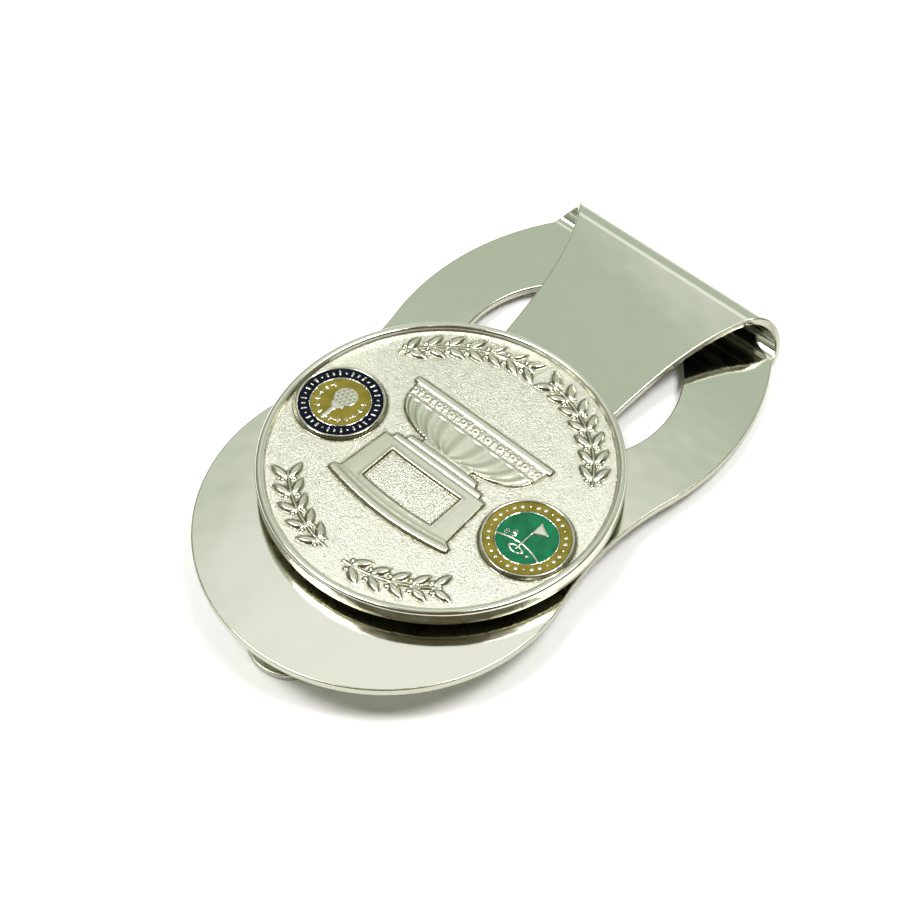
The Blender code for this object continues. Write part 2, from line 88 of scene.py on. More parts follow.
# Sheet, details of its mesh: it is drawn a hair (SKIN) inside the CAD model's faces
SKIN = 0.03
EDGE_RADIUS = 0.18
EDGE_STEPS = 5
RING_ARC_STEPS = 60
WAIST_STEPS = 24
DISC_STEPS = 96
WINDOW_STEPS = 160
FOLD_STEPS = 36
TONGUE_STRAIGHT_STEPS = 16
TONGUE_KNEE_STEPS = 28
TONGUE_TIP_STEPS = 40

# Marker coin, as in the CAD model
MARKER_X = 7.85
COIN_SEAT = 1.13
COIN_RADIUS = 19.0
COIN_THICKNESS = 1.8
FIELD_LEVEL = 1.25
BADGE_X = -1.4
BADGE_Y = 12.95
BADGE_RADIUS = 4.85
BADGE_LEVEL = 1.77
RING_CELL_OUTER = 4.4
RING_CELL_INNER = 3.35
FIELD_CELL_RADIUS = 3.1
CELL_FLOOR = 1.35
ENAMEL_LEVEL = 1.7
BALL_RADIUS = 1.35
BALL_X = 0.8
HORIZON_X = -6.9
HORIZON_RADIUS = 6.0
LAUREL_RADIUS = 15.6
LEAF_LENGTH = 2.3
LEAF_WIDTH = 0.95
LEAF_OFFSET = 0.15
LEAF_SPLAY = radians(38)
LEAF_STEP = radians(8)
UPPER_SPRAY_SPAN = radians(60)
LOWER_SPRAY_SPAN = radians(44)
CUP_PLINTH = ((-8.2, 8.1), (-7.5, 8.1), (-7.1, 7.3), (-0.9, 6.9), (-0.9, 6.0), (-0.2, 5.9), (-0.2, 4.8),
              (0.6, 4.6), (0.6, 3.3))
CUP_BASE_SAG = 0.9
CUP_BOWL_CURVE = ((1.1, 3.2), (1.5, 6.4), (2.6, 8.2), (4.4, 8.7))
CUP_LIP = ((6.1, 9.0), (6.1, 9.4), (6.9, 9.4))

# Cup relief: mouldings as (place along the cup, half width, height), then its band, panel and flutes
CUP_MOULDINGS = ((-7.75, 0.3, 0.1), (-7.0, 0.08, 0.05), (-0.9, 0.06, -0.08), (-0.55, 0.2, 0.05),
                 (-0.15, 0.06, -0.08), (0.2, 0.22, 0.05), (0.62, 0.06, -0.08), (4.35, 0.1, 0.07),
                 (6.5, 0.32, 0.08))
CUP_BAND = (4.45, 6.1)
CUP_BAND_MIDDLE = 5.3
CUP_BEAD_PITCH = 1.7
CUP_PANEL_X = -4.1
CUP_PANEL_HALF_SIZE = (2.05, 4.7)
CUP_FLUTED_PART = (1.0, 4.25)
CUP_FLUTES = 22

# Coin relief: how soft its outlines are, its grid and grain, and how high up the coin's side the painted
# shade reaches
SHARP = 0.1
CRISP = 0.12
CLEAR = 0.14
SOFT = 0.16
METAL_TOP = 0.97
RING_BARS = 36
RING_BAR_LENGTHS = (0.36, 0.26, 0.36, 0.16)
RING_BEADS = 30
SPRIG_RADIUS = 2.45
FACE_RADIUS = 18.0
FACE_GRID_REACH = 18.2
GRID = 0.106
GRAIN_SEED = 7
GRAIN_HEIGHT = 0.010
FINE_GRAIN_SHARE = 0.9
RIM_STEPS = 256
SIDE_SHADE_BELOW = 0.5

# Enamel pools
POOL_STEPS = 168
POOL_OVERLAP = 0.04
POOL_SINK = 0.08

# Camera, in the plate's frame; angles in degrees
CAMERA_AZIMUTH = -47.246
CAMERA_ELEVATION = 51.602
CAMERA_ROLL = -0.077
CAMERA_DISTANCE = 222.0
CAMERA_TARGET = (11.088, 1.728, 0.0)
SENSOR_WIDTH = 36.0
FOCAL_RATIO = 2.3722

# Floor, in metres: it lies just under the clip
FLOOR_HALF_SIZE = 3.0
FLOOR_DROP = 0.00002

# Light tent: patches of sky as (colour, (azimuth, elevation), core, edge), all angles in degrees
SKY_COLOUR = (0.635, 0.71, 0.60)
SKY_PATCHES = (((0.22, 0.205, 0.14), (-100, 30), 38, 72),
               ((0.13, 0.11, 0.06), (-150, 52), 32, 54),
               ((0.28, 0.285, 0.225), (105, 8), 34, 56),
               ((1.2, 1.2, 1.17), (38.5, 55), 3, 11),
               ((0.95, 0.97, 0.94), (0, -90), 93, 105))
SOFTBOXES = (("left_softbox", 130, 66), ("right_softbox", -50, 66))
SOFTBOX_DISTANCE = 0.9
SOFTBOX_WIDTH = 0.3
SOFTBOX_POWER = 6.2


# ---------------------------------------------------------------- frame and camera

def rest_frame():
    """Plate frame in millimetres to row frame in metres."""
    joints = {joint["name"]: joint for joint in frame["record"]["behaviour"]["joints"]}
    fold = Vector(joints["tongue_flex"]["pos_m"])
    normal = Vector(joints["marker_lift"]["axis"])
    tilt = Matrix.Rotation(atan2(normal.x, normal.z), 4, "Y")
    to_fold = Matrix.Translation((-FOLD_X, 0.0, -FOLD_Z))
    return Matrix.Translation(fold) @ tilt @ Matrix.Scale(0.001, 4) @ to_fold


REST = rest_frame()


def add_camera():
    """The camera of the reference view, given in the plate's frame."""
    azimuth, elevation, roll = (radians(a) for a in (CAMERA_AZIMUTH, CAMERA_ELEVATION, CAMERA_ROLL))
    toward = Vector((cos(elevation) * sin(azimuth), -cos(elevation) * cos(azimuth), sin(elevation)))
    sideways = (-toward).cross(Vector((0, 0, 1))).normalized()
    above = sideways.cross(-toward)
    right = sideways * cos(roll) + above * sin(roll)
    up = above * cos(roll) - sideways * sin(roll)
    axes = Matrix((right, up, toward)).transposed()
    data = bpy.data.cameras.new("camera")
    data.sensor_width = SENSOR_WIDTH
    data.lens = SENSOR_WIDTH * FOCAL_RATIO
    data.clip_start = 0.01
    data.clip_end = 20.0
    camera = bpy.data.objects.new("camera", data)
    bpy.context.scene.collection.objects.link(camera)
    turn = REST.to_3x3().normalized() @ axes
    place = REST @ (Vector(CAMERA_TARGET) + toward * CAMERA_DISTANCE)
    camera.matrix_world = Matrix.Translation(place) @ turn.to_4x4()
    bpy.context.scene.camera = camera


# ---------------------------------------------------------------- materials

class Nodes:
    """Shorthand for building one node tree."""

    def __init__(self, tree):
        self.tree = tree

    def add(self, kind, **settings):
        """A new node; a setting is one of its properties or, with its underscores as spaces, a socket."""
        node = self.tree.nodes.new(kind)
        for name, value in settings.items():
            if hasattr(node, name):
                setattr(node, name, value)
            else:
                node.inputs[name.replace("_", " ")].default_value = value
        return node

    def link(self, source, target):
        self.tree.links.new(source, target)


def new_material(name, colour, roughness, metallic, **more):
    """A material with its node builder and its shader; `more` names further shader sockets."""
    material = bpy.data.materials.new(name)
    material.use_nodes = True
    shader = material.node_tree.nodes["Principled BSDF"]
    shader.inputs["Base Color"].default_value = (*colour, 1.0)
    shader.inputs["Roughness"].default_value = roughness
    shader.inputs["Metallic"].default_value = metallic
    for key, value in more.items():
        shader.inputs[key.replace("_", " ")].default_value = value
    return material, Nodes(material.node_tree), shader


def vary_roughness(nodes, shader, scale, low, high):
    """Roughness that wanders between low and high over the surface; returns the coordinates' node."""
    place = nodes.add("ShaderNodeTexCoord")
    noise = nodes.add("ShaderNodeTexNoise", Scale=scale, Detail=6.0, Roughness=0.6)
    span = nodes.add("ShaderNodeMapRange", To_Min=low, To_Max=high)
    span.inputs["From Min"].default_value = 0.3
    span.inputs["From Max"].default_value = 0.7
    nodes.link(place.outputs["Object"], noise.inputs["Vector"])
    nodes.link(noise.outputs["Fac"], span.inputs["Value"])
    nodes.link(span.outputs["Result"], shader.inputs["Roughness"])
    return place


def add_bumps(nodes, shader, place, layers):
    """Layers of (texture kind, scale, strength, depth in metres, stretch)."""
    normal = None
    for kind, scale, strength, depth, stretch in layers:
        mapping = nodes.add("ShaderNodeMapping")
        mapping.inputs["Scale"].default_value = stretch
        nodes.link(place.outputs["Object"], mapping.inputs["Vector"])
        texture = nodes.add(kind, Scale=scale)
        if kind == "ShaderNodeTexNoise":
            texture.inputs["Detail"].default_value = 3.0
        nodes.link(mapping.outputs["Vector"], texture.inputs["Vector"])
        bump = nodes.add("ShaderNodeBump", Strength=strength, Distance=depth)
        output = texture.outputs["Fac"] if "Fac" in texture.outputs else texture.outputs["Distance"]
        nodes.link(output, bump.inputs["Height"])
        if normal:
            nodes.link(normal, bump.inputs["Normal"])
        normal = bump.outputs["Normal"]
    nodes.link(normal, shader.inputs["Normal"])


def polished_nickel():
    """Bright plated sheet: slight waviness, hairline scratches and cloudy handling marks."""
    material, nodes, shader = new_material("sheet_polished_nickel", (0.66, 0.665, 0.58), 0.1, 1.0)
    place = vary_roughness(nodes, shader, 160.0, 0.06, 0.11)
    layers = [("ShaderNodeTexNoise", 60.0, 0.14, 0.001, (1, 1, 1)),
              ("ShaderNodeTexNoise", 2600.0, 0.012, 0.0001, (1, 0.35, 1))]
    add_bumps(nodes, shader, place, layers)
    return material


def sheared_edge_with_shade():
    """The sheet's cut edge: plated like its faces and a little rough; its darker colour is painted shade for
    the dim surroundings that the edge reflects.
    """
    material, nodes, shader = new_material("sheet_sheared_edge_with_shade", (0.45, 0.445, 0.36), 0.24, 1.0)
    place = vary_roughness(nodes, shader, 700.0, 0.2, 0.32)
    add_bumps(nodes, shader, place, [("ShaderNodeTexNoise", 1200.0, 0.15, 0.0001, (1, 1, 1))])
    return material


def tone_with_patina_and_shade(nodes, shader, colour, dark):
    """Mixes a darker tone into the metal by the mesh's map of patina and painted shade."""
    patina_and_shade = nodes.add("ShaderNodeAttribute", attribute_name="patina_and_shade")
    mix = nodes.add("ShaderNodeMixRGB")
    mix.inputs["Color1"].default_value = (*colour, 1.0)
    mix.inputs["Color2"].default_value = (*dark, 1.0)
    nodes.link(patina_and_shade.outputs["Fac"], mix.inputs["Fac"])
    nodes.link(mix.outputs["Color"], shader.inputs["Base Color"])


def coin_metal(name, colour, dark, roughness, bumps):
    """Struck nickel: its dark tone for patina and painted shade or None, roughness as (scale, low, high),
    bumps as for add_bumps.
    """
    material, nodes, shader = new_material(name, colour, roughness[1], 1.0)
    place = vary_roughness(nodes, shader, *roughness)
    add_bumps(nodes, shader, place, bumps)
    if dark:
        tone_with_patina_and_shade(nodes, shader, colour, dark)
    return material


def coin_materials():
    """Field, relief and bright metal, in the order of the height map's finishes, then rim, then the lower
    side and back in a darker colour that is painted shade.
    """
    stipple_bumps = [("ShaderNodeTexVoronoi", 9000.0, 0.6, 0.00006, (1, 1, 1)),
                     ("ShaderNodeTexNoise", 7000.0, 0.6, 0.00006, (1, 1, 1))]
    satin_bumps = [("ShaderNodeTexNoise", 1500.0, 0.2, 0.0001, (1, 1, 1))]
    bright_bumps = [("ShaderNodeTexNoise", 500.0, 0.12, 0.0002, (1, 1, 1))]
    field, satin, bright = (0.63, 0.615, 0.54), (0.69, 0.68, 0.58), (0.68, 0.67, 0.585)
    # dark: patina in the face's hollows, mixed with painted shade on its walls
    side_shade_colour, dark = (0.3, 0.275, 0.18), (0.19, 0.175, 0.105)
    return [coin_metal("coin_stippled_field", field, dark, (900.0, 0.26, 0.4), stipple_bumps),
            coin_metal("coin_satin_relief", satin, dark, (500.0, 0.2, 0.32), satin_bumps),
            coin_metal("coin_bright_face", bright, dark, (400.0, 0.12, 0.24), bright_bumps),
            coin_metal("coin_bright_rim", bright, None, (400.0, 0.12, 0.24), bright_bumps),
            coin_metal("coin_side_shade_and_back", side_shade_colour, None, (600.0, 0.22, 0.38), satin_bumps)]


def enamel(name, colour, second, gloss):
    """Glossy coloured enamel whose pigment is a little uneven."""
    material, nodes, shader = new_material(name, colour, 0.25, 0.0, Specular_IOR_Level=gloss)
    place = vary_roughness(nodes, shader, 600.0, 0.12, 0.3)
    noise = nodes.add("ShaderNodeTexNoise", Scale=700.0, Detail=4.0)
    shades = nodes.add("ShaderNodeValToRGB")
    for stop, position, shade in zip(shades.color_ramp.elements, (0.35, 0.7), (colour, second)):
        stop.position = position
        stop.color = (*shade, 1.0)
    nodes.link(place.outputs["Object"], noise.inputs["Vector"])
    nodes.link(noise.outputs["Fac"], shades.inputs["Fac"])
    nodes.link(shades.outputs["Color"], shader.inputs["Base Color"])
    add_bumps(nodes, shader, place, [("ShaderNodeTexNoise", 900.0, 0.45, 0.0001, (1, 1, 1))])
    return material


def magnet_plating():
    """The magnet's plating: fine-grained and bright."""
    material, nodes, shader = new_material("magnet_plating_fine", (0.66, 0.67, 0.68), 0.2, 1.0)
    place = vary_roughness(nodes, shader, 900.0, 0.16, 0.34)
    add_bumps(nodes, shader, place, [("ShaderNodeTexNoise", 2500.0, 0.2, 0.0001, (1, 1, 1))])
    return material


def adhesive_film():
    """Cured adhesive, cloudy and matt."""
    material, nodes, shader = new_material("adhesive_film_cloudy", (0.6, 0.57, 0.45), 0.5, 0.0)
    place = vary_roughness(nodes, shader, 800.0, 0.4, 0.65)
    add_bumps(nodes, shader, place, [("ShaderNodeTexNoise", 1500.0, 0.3, 0.0001, (1, 1, 1))])
    return material


# ---------------------------------------------------------------- sheet outline

def waist_centre():
    """Centre of the concave waist arc that touches the disc and the ring's side arc."""
    to_disc = DISC_RADIUS + WAIST_RADIUS
    to_ring = RING_ARC_RADIUS + WAIST_RADIUS
    span = hypot(RING_ARC_X, RING_ARC_DROP)
    along = (to_disc ** 2 - to_ring ** 2 + span ** 2) / (2 * span)
    across = sqrt(to_disc ** 2 - along ** 2)
    ux, uy = RING_ARC_X / span, -RING_ARC_DROP / span
    return along * ux - across * uy, along * uy + across * ux


def on_arc(centre, radius, angle, facing=1):
    """(x, y, normal out of the sheet) on an arc; facing is -1 where the sheet lies outside the arc."""
    nx, ny = cos(angle), sin(angle)
    return centre[0] + radius * nx, centre[1] + radius * ny, facing * nx, facing * ny


def plate_side():
    """(x, y, outward normal) along the +y side, from the fold to the disc's far end."""
    waist = waist_centre()
    ring = (RING_ARC_X, -RING_ARC_DROP)
    rise = sqrt(RING_ARC_RADIUS ** 2 - (FOLD_X - ring[0]) ** 2)
    start = atan2(rise, FOLD_X - ring[0])
    meet = atan2(waist[1] - ring[1], waist[0] - ring[0])
    disc_meet = atan2(waist[1], waist[0])
    ring_turns = np.linspace(start, meet, RING_ARC_STEPS)
    waist_turns = np.linspace(meet - pi, disc_meet - pi, WAIST_STEPS)[1:]
    disc_turns = np.linspace(disc_meet, pi, DISC_STEPS)[1:]
    side = [on_arc(ring, RING_ARC_RADIUS, a) for a in ring_turns]
    side += [on_arc(waist, WAIST_RADIUS, a, -1) for a in waist_turns]
    return side + [on_arc((0.0, 0.0), DISC_RADIUS, a) for a in disc_turns]


def plate_end_half_width():
    """Half the plate's width where the fold begins."""
    return plate_side()[0][1]


def fold_half_width(share):
    """Half width around the fold, from the plate (0) to the tongue's root (1)."""
    knots = (plate_end_half_width(), FOLD_LOW_HALF_WIDTH, FOLD_HIGH_HALF_WIDTH, TONGUE_ROOT_HALF_WIDTH)
    rest = 1 - share
    weights = (rest ** 3, 3 * share * rest ** 2, 3 * share ** 2 * rest, share ** 3)
    return sum(w * k for w, k in zip(weights, knots))


def tongue_middle_line():
    """(x, z) points along the tongue's middle, from its root at the fold to the tip's centre."""
    root_angle = pi / 2 + TONGUE_SLOPE
    root = Vector((FOLD_X + FOLD_MIDDLE * cos(root_angle), FOLD_Z + FOLD_MIDDLE * sin(root_angle)))
    knee_start_z = root.y - (root.x - TONGUE_KNEE_START_X) * tan(TONGUE_SLOPE)
    knee_start = Vector((TONGUE_KNEE_START_X, knee_start_z))
    knee_end = Vector((TONGUE_KNEE_END_X, TONGUE_KNEE_END_Z))
    reach = (TONGUE_KNEE_START_X - TONGUE_KNEE_END_X) * TONGUE_KNEE_SOFTNESS
    lead = Vector((cos(TONGUE_SLOPE), sin(TONGUE_SLOPE))) * reach
    trail = Vector((cos(TONGUE_TAIL_SLOPE), sin(TONGUE_TAIL_SLOPE))) * reach
    knee = interpolate_bezier(knee_start, knee_start - lead, knee_end + trail, knee_end, TONGUE_KNEE_STEPS)
    tip_z = TONGUE_KNEE_END_Z - (TONGUE_KNEE_END_X - TONGUE_TIP_X) * tan(TONGUE_TAIL_SLOPE)
    tip = Vector((TONGUE_TIP_X, tip_z))
    shares = [i / TONGUE_STRAIGHT_STEPS for i in range(TONGUE_STRAIGHT_STEPS + 1)]
    upper = [root.lerp(knee_start, share) for share in shares]
    return upper + list(knee[1:]) + [knee_end.lerp(tip, share) for share in shares[1:]]


def tongue_half_width(x):
    """Half the tongue's width: a steady taper from its tip to its waist, then a flare to its root."""
    root_x = FOLD_X - FOLD_MIDDLE * sin(TONGUE_SLOPE)
    taper = (TONGUE_WAIST_HALF_WIDTH - TONGUE_TIP_RADIUS) / (TONGUE_WAIST_X - TONGUE_TIP_X)
    if x < TONGUE_WAIST_X:
        return TONGUE_TIP_RADIUS + taper * (x - TONGUE_TIP_X)
    share = (x - TONGUE_WAIST_X) / (root_x - TONGUE_WAIST_X)
    run = taper * (root_x - TONGUE_WAIST_X)
    flare = TONGUE_ROOT_HALF_WIDTH - TONGUE_WAIST_HALF_WIDTH - run
    return TONGUE_WAIST_HALF_WIDTH + run * share + flare * share ** TONGUE_FLARE_POWER


# ---------------------------------------------------------------- sheet meshes

def edge_profile():
    """(inset, height) around the sheet's rounded edge, from its inner face to its outer face."""
    flat = SHEET / 2 - EDGE_RADIUS - SKIN
    turns = [pi / 2 * i / EDGE_STEPS for i in range(EDGE_STEPS + 1)]
    outer = [(SKIN + EDGE_RADIUS * (1 - cos(a)), flat + EDGE_RADIUS * sin(a)) for a in turns]
    return [(inset, -height) for inset, height in reversed(outer)] + outer


EDGE = edge_profile()


def bridge(body, near, far):
    """Skin between two profiles of the cut edge."""
    for i in range(len(near) - 1):
        face = body.faces.new((near[i], near[i + 1], far[i + 1], far[i]))
        face.material_index = 1


def edges_along(body, verts, closed):
    """Edges through a row of vertices, made where they are missing."""
    pairs = list(zip(verts, verts[1:]))
    if closed:
        pairs.append((verts[-1], verts[0]))
    return [body.edges.get(pair) or body.edges.new(pair) for pair in pairs]


def edge_ring(body, x, y, nx, ny):
    """Vertices round the plate's edge at one point of an outline; (nx, ny) points out of the sheet."""
    return [body.verts.new((x - nx * inset, y - ny * inset, -SHEET / 2 - height)) for inset, height in EDGE]


def sheet_object(name, body, materials):
    """A finished piece of sheet: faces in the first material, cut edges in the second."""
    bmesh.ops.recalc_face_normals(body, faces=body.faces)
    mesh = bpy.data.meshes.new(name)
    body.to_mesh(mesh)
    body.free()
    mesh.transform(REST)
    mesh.shade_smooth()
    item = bpy.data.objects.new(name, mesh)
    bpy.context.scene.collection.objects.link(item)
    for material in materials:
        mesh.materials.append(material)
    weighted = item.modifiers.new("flat_faces", "WEIGHTED_NORMAL")
    weighted.weight = 100
    return item


def plate_sheet(materials):
    """The flat plate: rounded outline, rounded window, filled flat faces."""
    body = bmesh.new()
    side = plate_side()
    outline = side + [(x, -y, nx, -ny) for x, y, nx, ny in reversed(side[:-1])]
    # At the fold the rounded edge has to meet the fold's, so there it is inset straight across
    stretch = sqrt(1 + (side[0][2] / side[0][3]) ** 2)
    outline[0] = (*outline[0][:2], 0.0, stretch)
    outline[-1] = (*outline[-1][:2], 0.0, -stretch)
    rings = [edge_ring(body, *point) for point in outline]
    for near, far in zip(rings, rings[1:]):
        bridge(body, near, far)
    turns = [2 * pi * i / WINDOW_STEPS for i in range(WINDOW_STEPS)]
    holes = [edge_ring(body, *on_arc((WINDOW_X, 0.0), WINDOW_RADIUS, a, -1)) for a in turns]
    for near, far in zip(holes, holes[1:] + holes[:1]):
        bridge(body, near, far)
    for end in (0, -1):
        edges = edges_along(body, [ring[end] for ring in rings], True)
        edges += edges_along(body, [ring[end] for ring in holes], True)
        bmesh.ops.triangle_fill(body, use_beauty=True, use_dissolve=False, edges=edges)
    return sheet_object("plate_sheet", body, materials)


def strip_ring(body, x, z, nx, nz, width, stretch):
    """Vertices round the sheet at one station: the +y edge, then the -y edge."""
    sides = []
    for side in (1, -1):
        ring = [body.verts.new((x + nx * o, side * (width - stretch * d), z + nz * o)) for d, o in EDGE]
        sides.append(ring)
    return sides


def bridge_strips(body, stations):
    """Skin over a strip: its two cut edges and its two broad faces, from station to station."""
    for (near_a, near_b), (far_a, far_b) in zip(stations, stations[1:]):
        bridge(body, near_a, far_a)
        bridge(body, far_b, near_b)
        for end in (0, -1):
            body.faces.new((near_a[end], far_a[end], far_b[end], near_b[end]))


def fold_strip(materials):
    """The fold itself, from the plate's end to the tongue's root."""
    body = bmesh.new()
    start, stop = -pi / 2, pi / 2 + TONGUE_SLOPE
    length = FOLD_MIDDLE * (stop - start)
    stations = []
    for i in range(FOLD_STEPS + 1):
        share = i / FOLD_STEPS
        a = start + (stop - start) * share
        width = fold_half_width(share)
        before, after = max(share - 0.01, 0.0), min(share + 0.01, 1.0)
        slope = (fold_half_width(after) - fold_half_width(before)) / (length * (after - before))
        x, z = FOLD_X + FOLD_MIDDLE * cos(a), FOLD_Z + FOLD_MIDDLE * sin(a)
        stations.append(strip_ring(body, x, z, cos(a), sin(a), width, sqrt(1 + slope ** 2)))
    bridge_strips(body, stations)
    return sheet_object("fold_strip", body, materials)


def tongue_strip(materials):
    """The tongue from its root to its round tip."""
    body = bmesh.new()
    middle = tongue_middle_line()
    stations = []
    for i, point in enumerate(middle):
        before, after = middle[max(i - 1, 0)], middle[min(i + 1, len(middle) - 1)]
        along = (after - before).normalized()
        slope = (tongue_half_width(after.x) - tongue_half_width(before.x)) / (after - before).length
        width = tongue_half_width(point.x)
        stations.append(strip_ring(body, point.x, point.y, along.y, -along.x, width, sqrt(1 + slope ** 2)))
    bridge_strips(body, stations)
    tip, along = middle[-1], (middle[-1] - middle[-2]).normalized()
    rings = [stations[-1][0]]
    for i in range(1, TONGUE_TIP_STEPS):
        a = pi / 2 + pi * i / TONGUE_TIP_STEPS
        ring = []
        for d, o in EDGE:
            reach = -(TONGUE_TIP_RADIUS - d) * cos(a)
            x = tip.x + along.x * reach + along.y * o
            z = tip.y + along.y * reach - along.x * o
            ring.append(body.verts.new((x, (TONGUE_TIP_RADIUS - d) * sin(a), z)))
        rings.append(ring)
    rings.append(stations[-1][1])
    for near, far in zip(rings, rings[1:]):
        bridge(body, near, far)
    for end in (0, -1):
        body.faces.new([ring[end] for ring in rings])
    return sheet_object("tongue_strip", body, materials)


def add_sheet():
    """The plate and the tongue on their bodies, and the curved fold between them."""
    materials = [polished_nickel(), sheared_edge_with_shade()]
    plate = plate_sheet(materials)
    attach(plate, "clip")
    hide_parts("clip_plate")
    fold = fold_strip(materials)
    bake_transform(fold)
    tongue = tongue_strip(materials)
    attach(tongue, "tongue")
    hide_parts("spring_tongue")


# ---------------------------------------------------------------- coin relief as a height map

def ramp(distance, width):
    """0 outside, 1 inside, smooth over `width` centred on the outline; distance is positive inside."""
    t = np.clip(distance / width + 0.5, 0.0, 1.0)
    return t * t * (3 - 2 * t)


def polygon_distance(x, y, points):
    """Signed distance to a closed polygon, positive inside."""
    points = np.array(points, float)
    best = np.full(x.shape, 1e9)
    inside = np.zeros(x.shape, bool)
    for (ax, ay), (bx, by) in zip(points, np.roll(points, -1, axis=0)):
        ex, ey = bx - ax, by - ay
        t = np.clip(((x - ax) * ex + (y - ay) * ey) / (ex * ex + ey * ey + 1e-12), 0.0, 1.0)
        best = np.minimum(best, np.hypot(x - ax - t * ex, y - ay - t * ey))
        crosses = (ay > y) != (by > y)
        inside ^= crosses & (x < ex * (y - ay) / (ey + (ey == 0) * 1e-12) + ax)
    return np.where(inside, best, -best)


def segment_distance(x, y, start, stop):
    """Distance to a straight segment."""
    ex, ey = stop[0] - start[0], stop[1] - start[1]
    t = np.clip(((x - start[0]) * ex + (y - start[1]) * ey) / (ex * ex + ey * ey), 0.0, 1.0)
    return np.hypot(x - start[0] - t * ex, y - start[1] - t * ey)


def cup_side():
    """Half outline of the cup on its plinth, from the base to the lip, as (x, y) with x upwards."""
    bowl = [tuple(point) for point in interpolate_bezier(*[Vector(p) for p in CUP_BOWL_CURVE], 14)]
    return list(CUP_PLINTH) + bowl + list(CUP_LIP)


def cup_outline(side):
    """The cup's closed outline: both sides and the sagging base."""
    low_x, half_width = side[0]
    shares = np.linspace(-1, 1, 17)[1:-1]
    base = [(low_x - CUP_BASE_SAG * (1 - share ** 2), half_width * share) for share in shares]
    return side + [(x, -y) for x, y in reversed(side)] + base


def moulding(offset, half_width, height):
    """A line along offset = 0, raised or sunk."""
    return ramp(half_width - np.abs(offset), CLEAR) * height


def bowl_band(x, y):
    """Beads and lozenges in a row round the cup's upper band."""
    rise = x - CUP_BAND_MIDDLE
    half_pitch = CUP_BEAD_PITCH / 2
    along = (y + half_pitch) % CUP_BEAD_PITCH - half_pitch
    between = y % CUP_BEAD_PITCH - half_pitch
    from_bead = np.hypot(rise, along)
    lozenge = 0.36 - np.abs(rise) * 0.62 - np.abs(between) * 1.1
    dots = 0.11 - np.minimum(np.hypot(rise + 0.45, between + 0.34), np.hypot(rise - 0.45, between - 0.34))
    raised = np.maximum(ramp(0.42 - from_bead, CLEAR) - ramp(0.16 - from_bead, CLEAR), ramp(lozenge, CLEAR))
    return np.maximum(raised, ramp(dots, CRISP))


def cup_relief(x, y):
    """Height of the cup above the field, and how much of the surface is satin relief."""
    side = cup_side()
    solid = ramp(polygon_distance(x, y, cup_outline(side)), SOFT)
    low_x, base_width = CUP_PLINTH[0]
    level = x + CUP_BASE_SAG * (1 - (y / base_width) ** 2) * np.clip(x / low_x, 0, 1)
    widest = np.interp(level, [point[0] for point in side], [point[1] for point in side])
    across = np.clip(y / widest, -1, 1)
    height = 0.2 + 0.1 * np.sqrt(1 - across ** 2)
    for place, half_width, rise in CUP_MOULDINGS:
        height += moulding(level - place, half_width, rise)
    low, high = CUP_FLUTED_PART
    fluted = ramp(np.minimum(level - low, high - level), 0.2)
    height += fluted * 0.045 * np.cos(np.arcsin(across) * CUP_FLUTES)
    low, high = CUP_BAND
    band = ramp(np.minimum(level - low, high - level), CRISP)
    height += band * (0.09 * bowl_band(level, y) - 0.04)
    half_high, half_wide = CUP_PANEL_HALF_SIZE
    panel = np.minimum(half_high - np.abs(level - CUP_PANEL_X), half_wide - np.abs(y))
    height += moulding(panel + 0.2, 0.1, 0.05)
    height -= ramp(panel, CLEAR) * 0.24
    satin = solid * (1 - ramp(panel - 0.05, SHARP)) * (1 - 0.6 * band)
    return height * solid, satin


def leaf_relief(x, y):
    """Height of the laurel sprays, their stems and their berries above the field."""
    radius, angle = np.hypot(x, y), np.arctan2(y, x)
    height = np.zeros(x.shape)
    sprays = ((0.0, UPPER_SPRAY_SPAN, -1), (pi, LOWER_SPRAY_SPAN, 1))
    for middle, span, direction in sprays:
        pairs = int(span / LEAF_STEP)
        turn = (angle - middle + pi) % (2 * pi) - pi
        reach = LEAF_STEP * (pairs + 0.4)
        stem = np.minimum(0.13 - np.abs(radius - LAUREL_RADIUS), (reach - np.abs(turn)) * LAUREL_RADIUS)
        stem = np.minimum(stem, (np.abs(turn) - LEAF_STEP * 0.55) * LAUREL_RADIUS)
        height = np.maximum(height, ramp(stem, SOFT) * 0.2)
        for i in range(pairs):
            for side in (1, -1):
                a = middle + side * LEAF_STEP * (i + 1)
                out = np.array((cos(a), sin(a)))
                ahead = np.array((-sin(a), cos(a))) * side * direction
                for lean in (1, -1):
                    root = out * (LAUREL_RADIUS + lean * LEAF_OFFSET)
                    along = ahead * cos(LEAF_SPLAY) + out * lean * sin(LEAF_SPLAY)
                    height = np.maximum(height, one_leaf(x - root[0], y - root[1], along))
                    berry = out * (LAUREL_RADIUS + lean * 0.62) - ahead * 0.12
                    bead = 0.2 - np.hypot(x - berry[0], y - berry[1])
                    height = np.maximum(height, ramp(bead, SOFT) * 0.2)
    return height


def one_leaf(dx, dy, along):
    """Height of one crowned leaf with a sunk vein, from its root in the direction `along`."""
    t = (dx * along[0] + dy * along[1]) / LEAF_LENGTH
    across = dx * -along[1] + dy * along[0]
    t_in = np.clip(t, 0.0, 1.0)
    half = LEAF_WIDTH / 2 * np.sin(pi * t_in ** 0.85) ** 0.8 + 1e-6
    inside = (t > 0) & (t < 1) & (np.abs(across) < half)
    edge = np.minimum(half - np.abs(across), np.minimum(t, 1 - t) * LEAF_LENGTH)
    crown = np.sqrt(np.clip(edge / 0.3, 0, 1)) * 0.3
    vein = 0.09 * np.clip(1 - np.abs(across) / 0.1, 0, 1) * np.clip(edge / 0.15, 0, 1)
    return np.where(inside, crown - vein, 0.0)


